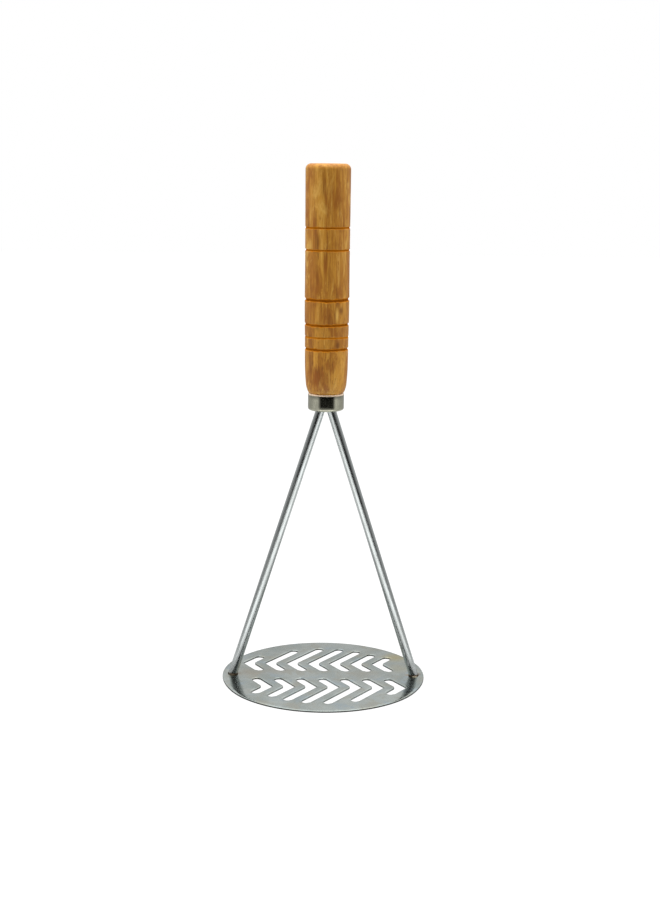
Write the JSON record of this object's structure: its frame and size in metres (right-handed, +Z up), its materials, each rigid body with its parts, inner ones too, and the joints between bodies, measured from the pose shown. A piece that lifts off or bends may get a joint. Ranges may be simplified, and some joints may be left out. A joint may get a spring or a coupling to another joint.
{
  "type": "potato masher",
  "caption": "Hand masher: round press plate with chevron slots, welded to two rods that meet in a ferruled turned wooden grip.",
  "frame": {"origin": "centre of the press plate's underside, on the surface that the masher stands on", "axes": "+Z up along the grip's axis, X from the left rod's foot to the right rod's, +Y to the back row of slots"},
  "size_m": [0.1, 0.1, 0.2514],
  "materials": {
    "grip_wood": "varnished, satin, scorched scored grooves",
    "ferrule_steel": "satin, drawn",
    "rod_steel": "bright drawn wire",
    "plate_steel": "rolled sheet, half bright, mottled",
    "weld_metal": "as welded, heat tinted"
  },
  "bodies": {
    "root": {"handle_grip": "grip_wood", "ferrule": "ferrule_steel", "rod_left": "rod_steel", "rod_right": "rod_steel", "press_plate": "plate_steel", "weld_left": "weld_metal", "weld_right": "weld_metal"}
  },
  "joints": []
}
